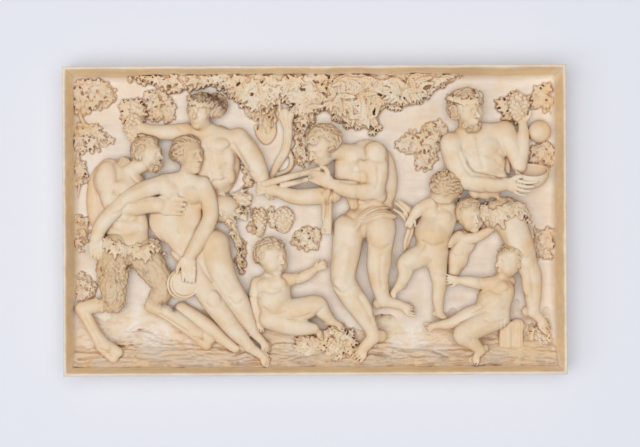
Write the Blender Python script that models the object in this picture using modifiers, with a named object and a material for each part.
"""An ivory relief plaque: a shallow tray cut in one slab, with a bacchanal carved in its floor.

The plaque hangs upright. X runs along it, Z is up and the carving faces -Y, with the origin at the
middle of the flat back. The carving is described in millimetres as (right, up, out): out is the
height above the floor of the tray, before the whole carving is pressed flat by RELIEF_PRESS.
"""
import math
import random

import bmesh
import bpy
from mathutils import Matrix, Vector

MM = 0.001

# driving sizes of the slab, in millimetres
WIDTH = 165.0
HEIGHT = 101.5
BACK_THICKNESS = 5.6
RIM_HEIGHT = 8.4
RIM_FACE = 1.0
WALL_RUN = 1.9
WALL_DROP = 6.2
COVE_RUN = 2.4
EDGE_ROUND = 0.25

# the carving
RELIEF_PRESS = 0.56
FLOOR_SKIN = 0.2
GRAIN = 0.5
TRIANGLES = 9000
SEED = 20

IVORY = (0.79, 0.66, 0.50, 1.0)


def clear_scene():
    for item in list(bpy.data.objects):
        bpy.data.objects.remove(item, do_unlink=True)


def new_collection(name, hidden=False):
    group = bpy.data.collections.new(name)
    bpy.context.scene.collection.children.link(group)
    group.hide_render = hidden
    return group


def ivory():
    material = bpy.data.materials.new("ivory")
    material.use_nodes = True
    shader = material.node_tree.nodes["Principled BSDF"]
    shader.inputs["Base Color"].default_value = IVORY
    shader.inputs["Roughness"].default_value = 0.42
    shader.inputs["Metallic"].default_value = 0.0
    return material


# ---------------------------------------------------------------- clay: tubes and balls
class Clay:
    """collects tubes, as splines of one curve, and balls and blocks, as scaled objects"""

    def __init__(self, group):
        self.group = group
        self.curve = bpy.data.curves.new("limbs", "CURVE")
        self.curve.dimensions = "3D"
        self.curve.bevel_depth = MM
        self.curve.bevel_resolution = 3
        self.curve.resolution_u = 4
        self.curve.use_fill_caps = True
        self.ball = unit_mesh("ball", bmesh.ops.create_uvsphere, u_segments=16, v_segments=10, radius=1.0)
        self.cube = unit_mesh("cube", bmesh.ops.create_cube, size=1.0)
        self.shapes = []

    def limb(self, points):
        """a tube through (right, up, out, radius) points, with a ball on each end"""
        spline = self.curve.splines.new("BEZIER")
        spline.bezier_points.add(len(points) - 1)
        for knot, (right, up, out, radius) in zip(spline.bezier_points, points):
            knot.co = place(right, up, out)
            knot.radius = radius
            knot.handle_left_type = "AUTO"
            knot.handle_right_type = "AUTO"
        for right, up, out, radius in (points[0], points[-1]):
            self.mass((right, up, out), (radius, radius, radius))

    def mass(self, centre, radii, up=(0, 1, 0), front=(0, 0, 1)):
        """an ellipsoid; radii lie sideways, along up and along front"""
        scale = Matrix.Diagonal(Vector(radii) * MM).to_4x4()
        self.add(self.ball, Matrix.Translation(place(*centre)) @ frame(up, front) @ scale)

    def block(self, centre, size):
        scale = Matrix.Diagonal(Vector((size[0], size[2], size[1])) * MM).to_4x4()
        self.add(self.cube, Matrix.Translation(place(*centre)) @ scale)

    def add(self, mesh, matrix):
        item = bpy.data.objects.new("shape", mesh)
        item.matrix_world = matrix
        self.group.objects.link(item)
        self.shapes.append(item)

    def solid(self):
        """everything as one object of closed shells"""
        tubes = bpy.data.objects.new("limbs", self.curve)
        self.group.objects.link(tubes)
        bpy.context.view_layer.update()
        evaluated = tubes.evaluated_get(bpy.context.evaluated_depsgraph_get())
        tube_mesh = bpy.data.meshes.new_from_object(evaluated)
        tube_mesh.transform(tubes.matrix_world)
        bpy.data.objects.remove(tubes, do_unlink=True)
        shells = bmesh.new()
        shells.from_mesh(tube_mesh)
        bmesh.ops.remove_doubles(shells, verts=shells.verts, dist=0.00001)
        shells.to_mesh(tube_mesh)
        shells.free()
        carving = bpy.data.objects.new("carving", tube_mesh)
        self.group.objects.link(carving)
        together = [carving] + self.shapes
        with bpy.context.temp_override(active_object=carving, selected_editable_objects=together):
            bpy.ops.object.join()
        return carving


def unit_mesh(name, maker, **sizes):
    shape = bmesh.new()
    maker(shape, **sizes)
    mesh = bpy.data.meshes.new(name)
    shape.to_mesh(mesh)
    shape.free()
    return mesh


def place(right, up, out):
    return Vector((right, -out, up)) * MM


def direction(v):
    return Vector((v[0], -v[2], v[1])).normalized()


def frame(up, front):
    """a rotation whose columns are side, up and front"""
    up = direction(up)
    front = direction(front)
    front = (front - up * front.dot(up)).normalized()
    side = up.cross(front)
    return Matrix((side, up, front)).transposed().to_4x4()


def mix(a, b, t):
    return tuple(p * (1 - t) + q * t for p, q in zip(a, b))


def shift(base, up, front, offset):
    """a point at an offset (side, up, front) from base, in a body's own axes"""
    turned = frame(up, front).to_3x3() @ Vector(offset)
    return (base[0] + turned.x, base[1] + turned.z, base[2] - turned.y)


# ---------------------------------------------------------------- bodies
def head(clay, at, look, up, size, base, beard=False):
    """at: the middle of the head; base: where the neck meets the trunk"""
    k = size / 10.0
    for offset, radii in (((0, 1.2, -0.5), (4.1, 4.3, 4.7)), ((0, -1.7, 1.1), (3.0, 3.4, 3.1)),
                          ((0, -0.4, 4.0), (0.7, 1.6, 1.0)), ((0, -4.0, 2.4), (1.3, 1.0, 1.1))):
        clay.mass(shift(at, up, look, [k * v for v in offset]), [k * v for v in radii], up, look)
    if beard:
        clay.mass(shift(at, up, look, (0, -3.2 * k, 2.2 * k)), [k * v for v in (2.9, 2.8, 2.4)], up, look)
    clay.limb([tuple(mix(at, base, 0.35)) + (2.3 * k,), tuple(base) + (2.5 * k,)])


def trunk(clay, neck, waist, pelvis, front, girth, kind):
    """rib cage, belly and pelvis"""
    wide, belly, seat = {"man": (6.3, 4.9, 5.3), "woman": (5.5, 4.9, 6.4), "child": (5.6, 5.6, 5.2)}[kind]
    axis = [a - b for a, b in zip(neck, waist)]
    hips = [a - b for a, b in zip(waist, pelvis)]
    rib = mix(neck, waist, 0.5)
    reach = 0.62 * math.dist(neck, waist)
    clay.mass(rib, (wide * girth, reach, 4.3 * girth), axis, front)
    clay.mass(waist, (belly * girth, 4.7 * girth, 4.0 * girth), axis, front)
    clay.mass(pelvis, (seat * girth, 4.2 * girth, 4.2 * girth), hips, front)
    for side in (-1, 1):
        chest = shift(rib, axis, front, (side * 2.7 * girth, 1.3 * girth, 2.9 * girth))
        clay.mass(chest, (2.6 * girth, 2.1 * girth, 1.7 * girth), axis, front)


def shoulders(clay, neck, left, right, girth):
    for end in (left, right):
        clay.limb([tuple(mix(neck, end, 0.1)) + (2.3 * girth,), tuple(end) + (2.6 * girth,)])


def hoof(clay, at, tip, size):
    clay.limb([tuple(at) + (1.7 * size,), tuple(tip) + (2.0 * size,)])


def hand(clay, wrist, knuckles, tips):
    """a palm with its fingers held together; each point is (right, up, out, radius)"""
    clay.limb([wrist, knuckles, tips])


def foot(clay, ankle, ball, toes, radius):
    """a heel, the ball of the foot and the toes"""
    clay.limb([ankle + (1.15 * radius,), ball + (radius,), toes + (0.75 * radius,)])


def tress(clay, points, radius):
    """a fold of cloth, a stem or a stick: a tube of one thickness"""
    clay.limb([tuple(p) + (radius,) for p in points])


def leaf(clay, at, heading, size):
    """three lobes that fan from a stalk"""
    for turn in (-58, 0, 58):
        angle = math.radians(heading + turn)
        along = (math.cos(angle), math.sin(angle), -0.25)
        middle = [a + d * size * 0.42 for a, d in zip(at, along)]
        clay.mass(middle, (size * 0.24, size * 0.46, size * 0.2), along, (0, 0, 1))


def bush(clay, at, spread, count, size, rng):
    """a clump of leaves over a mound that stands on the floor"""
    clay.mass((at[0], at[1], at[2] * 0.35), (spread[0], spread[1], at[2] * 0.65))
    for i in range(count):
        angle = i * 2.399963
        far = math.sqrt((i + 0.5) / count)
        spot = (at[0] + math.cos(angle) * far * spread[0], at[1] + math.sin(angle) * far * spread[1],
                at[2] - 1.1 * far * far)
        leaf(clay, spot, math.degrees(angle) + rng.uniform(-40, 40), size)


def leaf_row(clay, points, count, size, rng):
    """leaves that hang along a line, such as a girdle"""
    for i in range(count):
        t = i / (count - 1) * (len(points) - 1)
        k = min(int(t), len(points) - 2)
        leaf(clay, mix(points[k], points[k + 1], t - k), rng.uniform(240, 300), size)


# ---------------------------------------------------------------- the figures
def satyr(clay, rng):
    neck, waist, pelvis = (-61.5, 16, 5.2), (-62.5, 2, 5.4), (-60.5, -7.5, 5.6)
    trunk(clay, neck, waist, pelvis, (0.35, 0, 0.9), 1.12, "man")
    clay.mass((-70, 7, 3.0), (5.2, 11.5, 3.6))
    clay.mass((-67.8, 14.2, 6.4), (4.8, 6.4, 4.0), (0.1, 1, 0))
    head(clay, (-54.6, 21.8, 8.5), (0.8, -0.2, 0.55), (-0.1, 1, 0.1), 10.8, neck, beard=True)
    clay.limb([(-67.4, 12, 7.0, 4.0), (-66, 6, 8.0, 3.6), (-61, 4.6, 8.6, 3.1), (-51, 5.3, 9.6, 2.6)])
    hand(clay, (-51, 5.3, 9.6, 2.4), (-47, 5.1, 10.2, 2.6), (-43, 4.6, 10.0, 1.8))
    clay.limb([(-65.3, -9, 6, 5.2), (-66.6, -16, 7, 5.4), (-66.4, -22.5, 7.3, 4.6), (-66, -27, 7, 3.4)])
    clay.limb([(-66, -27, 7.0, 3.1), (-71.5, -27.6, 6.4, 2.6), (-77, -28.6, 5.4, 2.0)])
    clay.limb([(-77, -28.9, 5.4, 2.1), (-74.8, -32.6, 5.4, 2.0), (-70, -40.8, 5.6, 2.5)])
    hoof(clay, (-69, -41.6, 5.6), (-66.4, -43.8, 5.6), 1.25)
    clay.limb([(-57, -10.5, 5.4, 5.0), (-53, -16.5, 5.8, 4.8), (-50, -21.5, 5.8, 3.9),
               (-51.6, -25, 5.6, 3.2)])
    clay.limb([(-51.6, -25, 5.6, 3.0), (-54.4, -28.2, 5.2, 2.1)])
    clay.limb([(-54.4, -28.2, 5.2, 1.9), (-48.4, -30.4, 5.4, 2.4), (-39.6, -36.8, 5.5, 2.4)])
    hoof(clay, (-38.8, -37.4, 5.4), (-36.0, -39.4, 5.4), 1.25)
    leaf_row(clay, [(-69, -6.5, 10.4), (-58.5, -9.4, 11.0), (-48.5, -8.0, 10.0)], 12, 2.8, rng)


def nymph(clay, rng):
    neck = (-42.8, 13.6, 7.0)
    shoulders(clay, neck, (-49.2, 13.0, 7.6), (-37.0, 12.0, 7.6), 1.1)
    clay.mass((-43.8, 8.5, 6.6), (8.2, 7.4, 3.7))
    clay.mass((-45.6, 0, 6.6), (8.8, 7.8, 3.8), (0.15, 1, 0))
    clay.mass((-39.5, -10, 6.8), (8.8, 6.2, 4.0), (0.5, 1, 0))
    clay.mass((-44.6, -4.4, 8.4), (5.4, 4.4, 2.6), (0.3, 1, 0))
    for right, up in ((-40.2, 8.4), (-47.6, 9.2)):
        clay.mass((right, up, 9.4), (3.0, 3.0, 2.1))
    head(clay, (-41.3, 21.6, 9.3), (-0.62, -0.3, 0.7), (0.12, 1, 0.05), 11.2, neck)
    clay.limb([(-50, 12.2, 8.4, 3.0), (-56, 10.2, 9.2, 2.9), (-62, 7.0, 9.8, 2.6), (-70.2, -1.6, 10.0, 2.4),
               (-71.9, -5.6, 9.8, 1.9)])
    hand(clay, (-71.9, -5.6, 9.8, 1.7), (-72.0, -8.0, 9.8, 1.8), (-71.8, -12.0, 9.5, 1.4))
    clay.limb([(-37.0, 11.5, 8.0, 3.1), (-34.9, 6.5, 8.4, 2.8), (-34.4, 1.0, 9.4, 2.5),
               (-37.4, -5.5, 11.0, 2.6),
               (-41.0, -11.4, 11.6, 2.0)])
    hand(clay, (-41.0, -11.4, 11.6, 1.8), (-41.5, -14.6, 11.8, 2.0), (-41.6, -19.4, 11.6, 1.4))
    clay.limb([(-33.2, -8, 7.2, 5.0), (-31.7, -14, 8, 4.7), (-28.9, -20.5, 8.6, 4.0),
               (-25.7, -25.8, 8.4, 3.6),
               (-23.2, -31, 7.6, 2.9), (-20.6, -36.4, 6.6, 1.8)])
    foot(clay, (-20.2, -37.6, 5.8), (-16.2, -41.0, 5.6), (-13.8, -43.4, 5.2), 1.7)
    clay.limb([(-40.6, -12, 5.6, 4.7), (-38.0, -19, 6.8, 4.4), (-34, -26, 9.0, 3.8), (-30.4, -31, 9.6, 3.3),
               (-26.2, -36.4, 8.8, 2.7), (-22, -41, 7.8, 1.8)])
    foot(clay, (-21.6, -42.4, 7.2), (-16.6, -45.6, 6.6), (-13.6, -47.6, 5.8), 1.8)
    clay.limb([(-44, -29, 4.0, 2.4), (-36, -34.5, 4.6, 2.6), (-26.5, -42.0, 4.8, 1.6)])
    clay.mass((-42.9, -20.6, 8.6), (4.9, 4.4, 2.0), (0, 1, 0.1), (0.1, 0, 1))


def reveller(clay, rng):
    neck, waist, pelvis = (-35, 29.4, 4.6), (-32.4, 15, 4.4), (-31, 4, 4)
    trunk(clay, neck, waist, pelvis, (-0.05, 0, 1), 1.12, "man")
    shoulders(clay, neck, (-42.4, 29.4, 5.4), (-26.2, 27.2, 5.6), 1.05)
    head(clay, (-37.4, 35.9, 7.8), (-0.35, -0.3, 0.85), (0.1, 1, 0.15), 10.8, neck)
    clay.mass((-32.2, 38.0, 6.0), (3.4, 4.0, 2.6))
    clay.limb([(-42.6, 29.4, 5.6, 2.9), (-48, 29.2, 6.0, 2.6), (-53, 29.4, 6.2, 2.3), (-57, 30.6, 6.4, 1.9)])
    clay.limb([(-25.2, 27.2, 5.6, 3.4), (-21.4, 22.2, 6.2, 3.6), (-18.9, 17.4, 6.6, 3.2),
               (-17.2, 13.4, 7.2, 2.3)])
    hand(clay, (-17.0, 12.8, 7.4, 1.9), (-15.6, 10.6, 7.8, 1.8), (-14.0, 8.0, 8.0, 1.2))
    clay.mass((-59.4, 31.2, 4.6), (3.4, 5.4, 4.0))
    bush(clay, (-60.2, 36.6, 5.4), (3.4, 2.6), 8, 3.0, rng)


def seated_child(clay, rng):
    neck, waist, pelvis = (-14.4, -18.6, 6), (-13.8, -26, 6.4), (-12.6, -31.5, 6.6)
    trunk(clay, neck, waist, pelvis, (-0.1, 0.05, 1), 1.05, "child")
    shoulders(clay, neck, (-18.6, -20.4, 6.4), (-10.0, -19.6, 6.4), 0.8)
    head(clay, (-14.3, -12.2, 7.6), (-0.6, -0.12, 0.8), (0.05, 1, 0.05), 11.8, neck)
    clay.limb([(-19.0, -20.6, 6.6, 2.3), (-19.9, -25.6, 6.6, 2.1), (-18.9, -32.4, 6.6, 1.3)])
    hand(clay, (-18.9, -32.4, 6.6, 1.2), (-18.6, -34.0, 6.6, 1.3), (-18.2, -35.8, 6.6, 0.9))
    clay.limb([(-9.8, -19.4, 6.6, 2.2), (-5.4, -19.1, 6.8, 1.9), (-0.2, -16.2, 7.2, 1.3)])
    hand(clay, (-0.2, -16.2, 7.2, 1.2), (1.4, -15.4, 7.2, 1.2), (3.2, -14.4, 7.2, 0.9))
    clay.limb([(-10, -30.4, 7.2, 4.1), (-4, -29, 8.2, 3.9), (0.6, -27.8, 8.6, 3.2), (5.2, -33, 7.2, 1.6)])
    foot(clay, (5.4, -33.8, 7.0), (7.8, -34.8, 6.8), (9.8, -35.2, 6.6), 1.2)
    clay.limb([(-14.6, -32, 7.6, 3.9), (-9.5, -33.8, 8.4, 3.7), (-4.4, -35.2, 8.6, 2.7),
               (-0.6, -35.6, 7.8, 1.8)])
    foot(clay, (-0.6, -36.2, 7.4), (1.4, -37.2, 7.2), (3.0, -37.8, 7.0), 1.2)


def piper(clay, rng):
    neck, waist, pelvis = (12.4, 21.2, 5.8), (17.6, 8.5, 5.2), (15.4, -1.0, 5.8)
    trunk(clay, neck, waist, pelvis, (-0.45, -0.15, 0.8), 1.25, "man")
    clay.mass((17.5, 17, 5.0), (8.6, 9.4, 3.8))
    clay.mass((22.6, 13, 4.6), (4.8, 9.4, 3.4))
    shoulders(clay, neck, (19.6, 21.4, 7.0), (9.5, 18, 5.5), 1.25)
    head(clay, (2.8, 24.2, 9.4), (-0.78, -0.5, 0.45), (-0.36, 0.87, 0.35), 11.8, neck)
    clay.limb([(20, 21.4, 7.6, 4.2), (20.3, 15.6, 9.0, 3.9), (19.8, 10.2, 9.8, 3.2)])
    clay.limb([(19.8, 9.9, 9.8, 3.1), (14.6, 9.7, 10.2, 3.2), (9.2, 10.6, 10.4, 2.6), (5.4, 11.8, 10.4, 1.9)])
    hand(clay, (5.0, 12.2, 10.4, 1.9), (3.0, 13.8, 10.6, 2.1), (-1.4, 14.6, 10.6, 1.2))
    clay.limb([(6, 8.6, 7.4, 2.9), (-1, 7.8, 7.8, 2.8), (-7, 7.9, 8, 2.5), (-12, 9.6, 8.2, 1.9)])
    hand(clay, (-12.4, 9.8, 8.3, 1.8), (-15.0, 10.4, 8.5, 1.9), (-18.4, 10.4, 8.2, 1.2))
    tress(clay, [(1.2, 16.6, 10.4), (-16.5, 12.0, 9.2)], 1.1)
    tress(clay, [(0.6, 14.4, 9.4), (-10.5, 11.6, 8.4)], 1.0)
    clay.limb([(11.2, -3, 6.8, 5.2), (10.2, -11, 7.8, 4.7), (9.2, -19, 8.8, 4.1), (11.6, -24.4, 8.4, 4.0),
               (15.6, -30.6, 7.6, 3.3), (19.0, -37, 6.8, 2.1)])
    foot(clay, (19.2, -40.0, 6.6), (15.0, -43.6, 6.6), (12.0, -45.6, 6.4), 2.0)
    clay.limb([(20.4, -1, 6.6, 5.4), (21.6, -3.0, 9.2, 5.0), (21.4, -9, 9.6, 4.2), (20.8, -15, 9.0, 3.8),
               (21.2, -21, 8.0, 3.1), (22.4, -26.4, 7.2, 2.2)])
    foot(clay, (23.0, -27.8, 6.8), (29.4, -29.2, 6.8), (33.6, -29.4, 6.4), 1.8)
    tress(clay, [(13.5, -2.4, 9.6), (17, 0.8, 11.2), (21, 2.3, 11.8), (26, 1.6, 9.6), (31, -0.4, 6.4)], 1.2)
    tress(clay, [(14.5, 0.8, 8.8), (18, 3.4, 10.0), (22.5, 4.3, 10.4), (27, 3.6, 8.4), (31.6, 0.8, 6.2)], 1.1)
    tress(clay, [(3.4, 9, 8.0), (3.0, 2, 7.2), (3.4, -4, 7.0)], 1.3)
    tress(clay, [(5.3, 9, 8.4), (5.3, 2, 7.6), (5.2, -4.4, 7.2)], 1.3)
    tress(clay, [(28.0, 5.6, 6.4), (32.0, 0.6, 6.0), (30.9, -4.0, 5.4), (29.8, -9.6, 4.4)], 1.2)


def dancers(clay, rng):
    """two children, the near one seen partly from behind"""
    neck, waist, pelvis = (42.4, 4.6, 6.2), (38.8, -4.6, 6.4), (38.2, -10.4, 6.2)
    trunk(clay, neck, waist, pelvis, (-0.4, 0, 0.9), 1.08, "child")
    shoulders(clay, neck, (38.6, 5.0, 7.6), (45.8, 3.4, 5.6), 0.9)
    head(clay, (43.0, 9.2, 8.2), (-0.55, -0.62, 0.5), (-0.22, 0.7, 0.6), 11.6, neck)
    clay.limb([(38.6, 5.2, 7.8, 2.5), (35.6, 4.2, 8.2, 2.2), (31.9, 0.6, 8.0, 1.3)])
    hand(clay, (31.9, 0.6, 8.0, 1.2), (31.3, -0.8, 8.0, 1.3), (30.6, -2.4, 8.0, 0.9))
    clay.limb([(36.8, -11, 7.2, 3.9), (32.8, -12.8, 8.4, 3.6), (29.9, -14.4, 8.8, 3.1), (29.6, -18, 8.2, 2.4),
               (27.6, -21.8, 7.6, 1.6)])
    foot(clay, (27.2, -22.8, 7.2), (25.4, -24.6, 7.0), (23.8, -26.0, 6.8), 1.2)
    clay.limb([(39.8, -11.5, 6.4, 3.9), (40.4, -17, 7.2, 3.0), (40.9, -21.6, 7.4, 2.4),
               (40.9, -30.8, 6.0, 1.5)])
    foot(clay, (41.2, -31.8, 5.8), (43.0, -33.0, 5.6), (44.6, -34.0, 5.4), 1.2)
    clay.mass((48.8, -7.6, 3.8), (4.3, 4.3, 3.2))
    clay.mass((47.0, -12.6, 4.0), (3.7, 4.5, 3.2), (0.2, 1, 0))
    head(clay, (50.9, 0.9, 6.4), (-0.15, -0.2, 0.95), (0, 1, 0.1), 10.2, (49.6, -5, 4))
    clay.limb([(50.0, -6.4, 5.8, 2.0), (53.6, -5.6, 6.2, 1.9), (58.4, -3.0, 6.0, 1.3)])
    clay.limb([(47.6, -5.4, 5.6, 1.9), (45.2, -6.8, 6.4, 1.8), (44.3, -7.8, 6.8, 1.8)])
    clay.limb([(46.6, -14, 4.6, 2.6), (45.8, -17, 5, 2.0), (44.9, -20, 4, 1.4)])
    bush(clay, (56.8, 0.6, 5.8), (3.0, 3.4), 8, 2.6, rng)


def drinker(clay, rng):
    neck, waist, pelvis = (51, 28.6, 5.6), (56.5, 12.5, 5.2), (61.5, 2.0, 5.6)
    trunk(clay, neck, waist, pelvis, (0.1, 0, 1), 1.28, "man")
    clay.mass((53.2, 21.4, 6.0), (9.6, 10.0, 4.6))
    shoulders(clay, neck, (45.6, 24.6, 7.4), (62.6, 28.8, 5.6), 1.35)
    head(clay, (50.2, 35.6, 9), (0.5, -0.35, 0.75), (-0.12, 1, 0.1), 12.6, neck, beard=True)
    clay.limb([(45.4, 24.6, 7.4, 4.2), (46.6, 18.8, 8.8, 3.9), (50.2, 13.4, 9.8, 3.2)])
    clay.limb([(50.4, 12.8, 9.8, 3.1), (55.4, 11.9, 10.2, 3.1), (60.2, 11.4, 10.2, 2.5),
               (63.6, 11.8, 10.2, 1.9)])
    hand(clay, (63.6, 11.6, 10.2, 1.8), (66.4, 11.0, 11.0, 2.2), (71.2, 10.2, 11.0, 1.5))
    clay.limb([(62.6, 28.6, 5.8, 3.8), (65.4, 23, 6.6, 3.0), (67.4, 17.4, 7.2, 2.3)])
    clay.limb([(67.4, 17.4, 7.0, 2.3), (68.4, 23, 6.8, 2.3), (68.6, 31.6, 5.8, 1.5)])
    hand(clay, (68.6, 31.6, 5.8, 1.4), (68.4, 34.0, 6.2, 1.7), (68.0, 36.4, 6.4, 1.3))
    clay.limb([(64.6, -1.5, 6.4, 5.0), (67.4, -8, 7.4, 4.5), (69.6, -14.4, 8.0, 3.6), (71.2, -19, 7.6, 3.5),
               (71.6, -25, 6.8, 2.9), (71.8, -30.2, 6, 2.0)])
    foot(clay, (72.0, -31.8, 5.8), (75.0, -34.2, 5.8), (77.2, -35.8, 5.4), 1.7)
    clay.mass((71.4, 14.2, 7.6), (5.2, 3.4, 4.2))
    clay.mass((74.2, 29, 4.4), (3.8, 3.8, 3.8))
    bush(clay, (67.0, 37.2, 5.8), (4.0, 4.2), 10, 3.0, rng)
    leaf_row(clay, [(53.5, 3.0, 10), (63, 3.4, 11.2), (74.5, 0.6, 9.0)], 13, 3.2, rng)


def right_child(clay, rng):
    neck, waist, pelvis = (61.4, -19.6, 6.4), (59.0, -26.8, 6.6), (58.8, -32, 6.6)
    trunk(clay, neck, waist, pelvis, (-0.6, 0, 0.8), 1.05, "child")
    shoulders(clay, neck, (59.6, -20.8, 8), (64, -20.6, 5.5), 0.85)
    head(clay, (64.2, -13.9, 8), (-0.78, -0.3, 0.5), (0.1, 1, 0.1), 11.0, neck)
    clay.limb([(60.0, -20.8, 8.4, 2.5), (55, -21.2, 8.8, 2.1), (47.4, -20.0, 8.6, 1.4)])
    hand(clay, (47.4, -20.0, 8.6, 1.3), (45.6, -19.8, 8.6, 1.4), (43.6, -19.6, 8.6, 1.0))
    clay.limb([(57.6, -30.4, 6.8, 3.5), (51, -31.2, 7.8, 2.9), (46.4, -33.4, 7.4, 2.2),
               (42.4, -34.6, 7, 1.5)])
    foot(clay, (41.8, -35.2, 6.8), (38.4, -35.6, 6.6), (35.8, -35.6, 6.4), 1.4)
    clay.limb([(58.6, -32.6, 8.0, 4.1), (53, -35.2, 9.4, 3.8), (48.4, -37.8, 10.0, 3.3),
               (51.4, -40.2, 9.2, 2.5),
               (54.2, -43, 8.4, 1.7)])
    foot(clay, (53.8, -44.0, 8.2), (52.4, -45.8, 8.0), (51.2, -47.2, 7.8), 1.4)
    clay.block((64.8, -38.2, 2.6), (8.4, 9.0, 5.2))


# ---------------------------------------------------------------- trees, leaves and ground
def tree(clay, rng):
    clay.limb([(-14.5, 14, 2.2, 1.7), (-12.0, 19, 3.0, 1.9), (-9.6, 23, 3.6, 2.0), (-8.7, 28, 4.0, 2.0),
               (-9.4, 36, 4.2, 1.9)])
    clay.limb([(-9.6, 32, 4.2, 1.6), (-11.8, 38, 4.4, 1.4), (-11.4, 46, 4.2, 1.3)])
    clay.limb([(-8.6, 32, 4.2, 1.6), (-5, 38.5, 4.3, 1.3), (1, 43, 4.2, 1.3)])
    clay.limb([(-18.8, 34, 1.6, 1.2), (-19.0, 29, 1.6, 1.1), (-16.0, 25.8, 1.6, 1.1), (-13.2, 28.6, 1.6, 1.1),
               (-13.4, 34, 1.6, 1.2)])
    bands = ((-53, 46.5, 2.0), (-46, 45.6, 2.6), (-39, 46.4, 2.0), (-32, 46.4, 2.0), (-25.5, 43.4, 4.2),
             (-18.5, 41.5, 5.2), (-11, 44, 3.8), (-4, 42, 5.0), (-4.5, 34.5, 3.6), (2.5, 40.0, 5.0), (9, 41,
                                                                                                      5.2),
             (10.5, 35.5, 4.0), (17, 41, 5.0), (17.4, 34.0, 3.8), (24, 43, 4.0), (31, 43, 3.8), (38, 44.5,
                                                                                                 3.2),
             (44.5, 46.8, 1.8))
    for right, up, spread in bands:
        bush(clay, (right, up, 7.4), (4.0, spread), 6, 3.4, rng)


def vines(clay, rng):
    """leaf clumps on the floor of the tray, as (right, up, half width, half height)"""
    clumps = ((-74.5, 42, 3.6, 3.4), (-69, 40, 3, 3), (-74, 28.5, 3.2, 2.6), (-71, 26.5, 3, 2),
              (-76.8, 14, 2, 3),
              (-76.6, 23, 1.8, 2), (-76.8, -5, 1.8, 4.4), (-77.2, -22, 1.8, 2.4), (-50.5, 37, 4, 3.6),
              (-53.5, 35, 3.4, 3), (36, 26.5, 4.6, 3), (31, 24.5, 3.6, 2), (41, 29.6, 3, 2.4), (36.6, 18, 3,
                                                                                                2),
              (75.5, 40.5, 2.8, 3), (75, 20, 2.4, 3.6), (75.6, -8, 2.2, 3.6), (-9.5, -1, 3, 3.4),
              (-16.4, 0.6, 2.2, 4), (-2.6, -6.2, 3.4, 2.6), (-24, -14, 1.4, 3), (-21.5, -3, 2.4, 3),
              (74, -39.4, 3.4, 3))
    for right, up, half_width, half_height in clumps:
        bush(clay, (right, up, 3.0), (half_width, half_height), 5, 2.8, rng)
    tress(clay, [(-31, 10, 3.4), (-31.5, 4, 3.8), (-29, -4, 3.4)], 3.0)
    clay.mass((-23.2, 7, 3.4), (3.2, 2.9, 4.4))
    tress(clay, [(-26, -3, 2), (-25, -11, 2), (-23.6, -18, 2)], 1.3)
    bush(clay, (6.5, -40, 4.6), (5.0, 3.6), 9, 3.6, rng)
    bush(clay, (-3, -41, 3.6), (4.4, 2.4), 6, 3.0, rng)


def ground(clay, rng):
    """low banks of earth along the foot of the scene"""
    banks = ((-66, -44.5, 14.5, 4.6, 4.4), (-48, -43.5, 18, 5.0, 4.4), (-24, -44.5, 20, 4.6, 4.4),
             (0, -44, 18, 5.4, 4.6), (24, -44.5, 18, 5.0, 4.4), (48, -45, 18, 4.4, 4.6), (67, -44, 13.5, 5.0,
                                                                                          4.6))
    for right, up, half_width, half_height, out in banks:
        clay.mass((right, up, 0), (half_width, half_height, out))


# ---------------------------------------------------------------- solids
def relief_object(group):
    """the whole carving as one closed mesh, pressed flat and set on the floor of the tray"""
    rng = random.Random(SEED)
    clay = Clay(group)
    for carve in (satyr, nymph, reveller, seated_child, piper, dancers, drinker, right_child, tree, vines,
                  ground):
        carve(clay, rng)
    inset = 2 * (RIM_FACE + WALL_RUN * 0.8)
    clay.block((0, 0, FLOOR_SKIN - 1.5), (WIDTH - inset, HEIGHT - inset, 3.0))
    carving = clay.solid()
    remesh = carving.modifiers.new("one skin", "REMESH")
    remesh.mode = "VOXEL"
    remesh.voxel_size = GRAIN * MM
    smooth = carving.modifiers.new("soften", "SMOOTH")
    smooth.factor = 0.5
    smooth.iterations = 2
    bake(carving)
    press = Matrix.Diagonal((1, RELIEF_PRESS, 1, 1))
    carving.data.transform(Matrix.Translation((0, -BACK_THICKNESS * MM, 0)) @ press)
    thin = carving.modifiers.new("thin out", "DECIMATE")
    thin.ratio = TRIANGLES / sum(len(p.vertices) - 2 for p in carving.data.polygons)
    bake(carving)
    return carving


def bake(item):
    """replaces an object's mesh with its mesh after the modifiers"""
    bpy.context.view_layer.update()
    evaluated = item.evaluated_get(bpy.context.evaluated_depsgraph_get())
    baked = bpy.data.meshes.new_from_object(evaluated)
    item.modifiers.clear()
    old = item.data
    item.data = baked
    bpy.data.meshes.remove(old)


def boolean(item, other, operation):
    step = item.modifiers.new(operation.lower(), "BOOLEAN")
    step.operation = operation
    step.solver = "EXACT"
    step.object = other
    bake(item)


def box(name, size, centre, group):
    item_mesh = bpy.data.meshes.new(name)
    shape = bmesh.new()
    scale = Matrix.Diagonal(Vector(size) * MM).to_4x4()
    bmesh.ops.create_cube(shape, size=1.0, matrix=Matrix.Translation(Vector(centre) * MM) @ scale)
    shape.to_mesh(item_mesh)
    shape.free()
    item = bpy.data.objects.new(name, item_mesh)
    group.objects.link(item)
    return item


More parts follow.
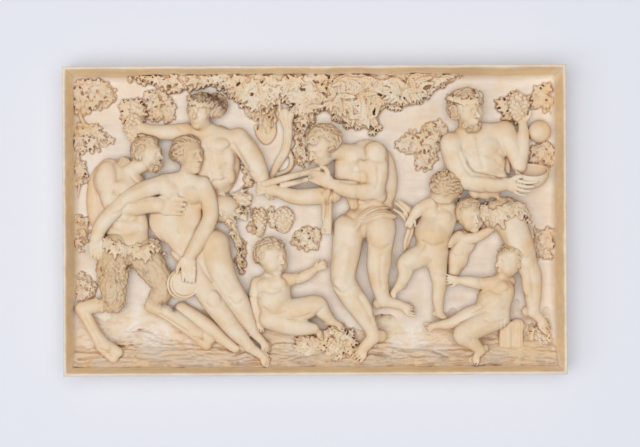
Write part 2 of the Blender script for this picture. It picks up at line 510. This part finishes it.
def tray(group):
    """the slab, with its rim, sloping walls and cove"""
    depth = BACK_THICKNESS + RIM_HEIGHT
    slab = box("relief_plaque", (WIDTH, depth, HEIGHT), (0, -depth / 2, 0), group)
    shape = bmesh.new()
    shape.from_mesh(slab.data)
    steps = ((RIM_FACE, 0.0), (WALL_RUN, -WALL_DROP), (COVE_RUN * 0.4, -(RIM_HEIGHT - WALL_DROP) * 0.7),
             (COVE_RUN * 0.6, -(RIM_HEIGHT - WALL_DROP) * 0.3))
    front = min(shape.faces, key=lambda face: face.calc_center_median().y)
    for run, rise in steps:
        bmesh.ops.inset_region(shape, faces=[front], thickness=run * MM, depth=rise * MM,
                               use_even_offset=True)
    outer = [e for e in shape.edges if all(abs(abs(v.co.x) - WIDTH / 2 * MM) < 1e-6 for v in e.verts)
             or all(abs(abs(v.co.z) - HEIGHT / 2 * MM) < 1e-6 for v in e.verts)]
    bmesh.ops.bevel(shape, geom=outer, offset=EDGE_ROUND * MM, segments=1, affect="EDGES")
    shape.to_mesh(slab.data)
    shape.free()
    return slab


def keep_one_shell(item):
    """drops loose crumbs and closed pockets, so that one outer shell is left"""
    shape = bmesh.new()
    shape.from_mesh(item.data)
    bmesh.ops.remove_doubles(shape, verts=shape.verts, dist=0.000005)
    bmesh.ops.triangulate(shape, faces=shape.faces)
    todo = set(shape.faces)
    shells = []
    while todo:
        stack = [todo.pop()]
        shell = []
        while stack:
            face = stack.pop()
            shell.append(face)
            for edge in face.edges:
                for other in edge.link_faces:
                    if other in todo:
                        todo.remove(other)
                        stack.append(other)
        shells.append(shell)
    shells.sort(key=len)
    crumbs = [face for shell in shells[:-1] for face in shell]
    bmesh.ops.delete(shape, geom=crumbs, context="FACES")
    bmesh.ops.recalc_face_normals(shape, faces=shape.faces)
    shape.to_mesh(item.data)
    shape.free()


def build():
    clear_scene()
    plaque = new_collection("ivory_relief_plaque")
    tools = new_collection("tools", hidden=True)
    slab = tray(plaque)
    carving = relief_object(tools)
    carving.display_type = "WIRE"
    boolean(slab, carving, "UNION")
    bpy.data.objects.remove(carving, do_unlink=True)
    for item in list(tools.objects):
        bpy.data.objects.remove(item, do_unlink=True)
    keep_one_shell(slab)
    slab.data.materials.clear()
    slab.data.materials.append(ivory())
    return slab


build()
